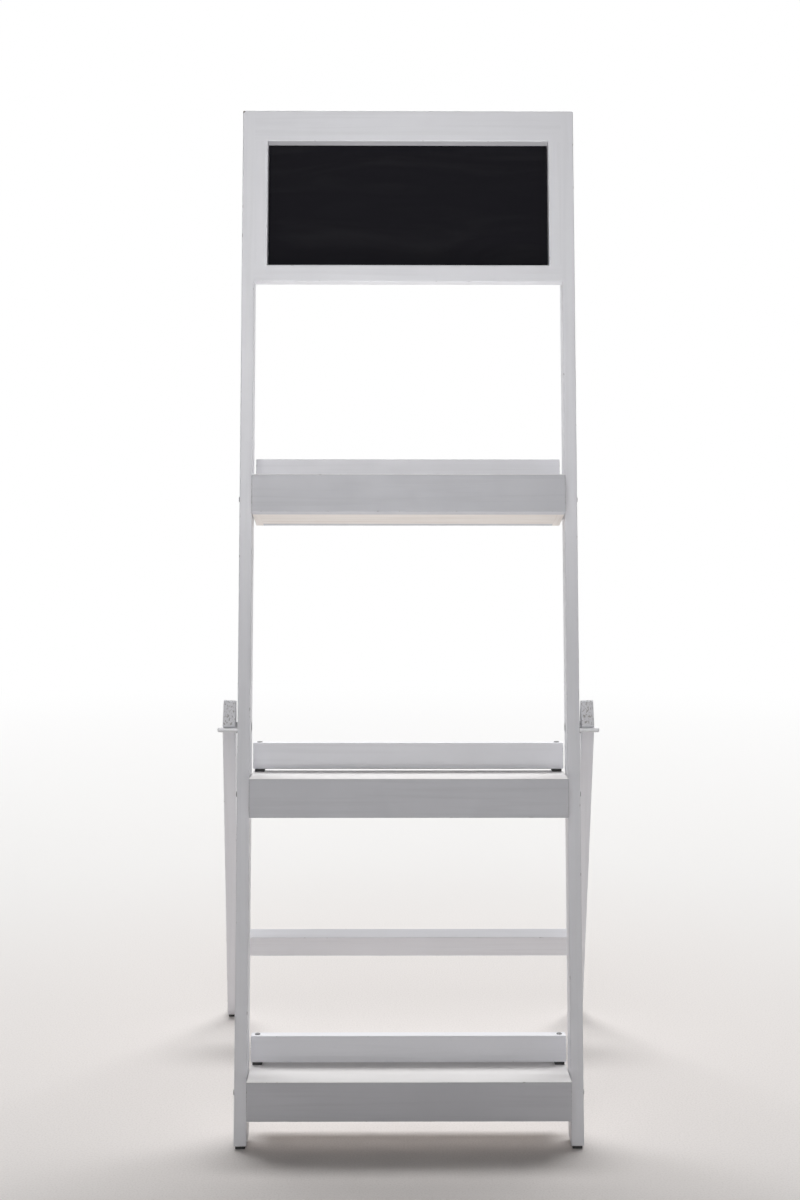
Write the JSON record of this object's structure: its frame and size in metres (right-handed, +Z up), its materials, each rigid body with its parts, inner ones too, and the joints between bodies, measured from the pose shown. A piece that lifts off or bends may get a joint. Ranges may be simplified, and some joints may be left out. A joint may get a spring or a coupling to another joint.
{
  "type": "folding step shelf",
  "caption": "Leaning ladder-style shelf with a chalkboard header, tilting tray steps with raised back rails, and a rear leg frame that folds in.",
  "frame": {"origin": "on the floor, at the middle of the overall width and depth", "axes": "+Z up, the front faces -Y, +X to the right as seen from the front"},
  "size_m": [0.5424, 0.537, 1.2974],
  "materials": {
    "white_paint": "satin white paint on solid wood, lightly marked at the edges",
    "blackboard_paint": "matt blackboard paint on thin board",
    "bare_wood": "bare beech dowel",
    "glide_plastic": "matt dark plastic",
    "spacer_rubber": "matt dark rubber",
    "painted_steel": "steel pin painted over in white",
    "zinc_steel": "dull zinc plate"
  },
  "bodies": {
    "front_frame": {"left_upright": "white_paint", "right_upright": "white_paint", "header_top_rail": "white_paint", "header_bottom_rail": "white_paint", "header_left_stile": "white_paint", "header_right_stile": "white_paint", "chalkboard": "blackboard_paint", "chalkboard_screws": "zinc_steel", "header_dowels": "bare_wood", "left_front_glide": "glide_plastic", "right_front_glide": "glide_plastic", "left_stop_pin": "painted_steel", "right_stop_pin": "painted_steel", "left_hinge_bolt": "zinc_steel", "right_hinge_bolt": "zinc_steel", "hinge_washers": "zinc_steel", "hinge_nuts": "zinc_steel"},
    "rear_frame": {"left_rear_leg": "white_paint", "right_rear_leg": "white_paint", "rear_crossbar": "white_paint", "left_rear_glide": "glide_plastic", "right_rear_glide": "glide_plastic", "crossbar_screws": "zinc_steel"},
    "top_tray": {"top_tray_front_rail": "white_paint", "top_tray_rear_rail": "white_paint", "top_tray_panel": "white_paint", "top_tray_underside": "white_paint", "top_tray_left_cheek": "white_paint", "top_tray_right_cheek": "white_paint", "top_tray_back_rail": "white_paint", "top_tray_spacers": "spacer_rubber", "top_tray_rail_screws": "zinc_steel", "top_tray_pivot_bolts": "zinc_steel", "top_tray_pivot_washers": "zinc_steel", "top_tray_pivot_nuts": "zinc_steel"},
    "middle_tray": {"middle_tray_front_rail": "white_paint", "middle_tray_rear_rail": "white_paint", "middle_tray_panel": "white_paint", "middle_tray_underside": "white_paint", "middle_tray_left_cheek": "white_paint", "middle_tray_right_cheek": "white_paint", "middle_tray_back_rail": "white_paint", "middle_tray_spacers": "spacer_rubber", "middle_tray_rail_screws": "zinc_steel", "middle_tray_pivot_bolts": "zinc_steel", "middle_tray_pivot_washers": "zinc_steel", "middle_tray_pivot_nuts": "zinc_steel"},
    "bottom_tray": {"bottom_tray_front_rail": "white_paint", "bottom_tray_rear_rail": "white_paint", "bottom_tray_panel": "white_paint", "bottom_tray_underside": "white_paint", "bottom_tray_left_cheek": "white_paint", "bottom_tray_right_cheek": "white_paint", "bottom_tray_back_rail": "white_paint", "bottom_tray_spacers": "spacer_rubber", "bottom_tray_rail_screws": "zinc_steel", "bottom_tray_pivot_bolts": "zinc_steel", "bottom_tray_pivot_washers": "zinc_steel", "bottom_tray_pivot_nuts": "zinc_steel"}
  },
  "joints": [
    {"name": "rear_frame_fold", "type": "hinge", "parent": "front_frame", "child": "rear_frame", "pos_m": [0, -0.14211, 0.50499], "axis": [-1, 0, 0], "range_deg": [0, 40]},
    {"name": "top_tray_tilt", "type": "hinge", "parent": "front_frame", "child": "top_tray", "pos_m": [0, -0.09978, 0.79253], "axis": [1, 0, 0], "range_deg": [-15, 94.25]},
    {"name": "middle_tray_tilt", "type": "hinge", "parent": "front_frame", "child": "middle_tray", "pos_m": [0, -0.16589, 0.42321], "axis": [1, 0, 0], "range_deg": [-15, 82.75]},
    {"name": "bottom_tray_tilt", "type": "hinge", "parent": "front_frame", "child": "bottom_tray", "pos_m": [0, -0.23048, 0.06244], "axis": [1, 0, 0], "range_deg": [-15, 82.35]}
  ]
}
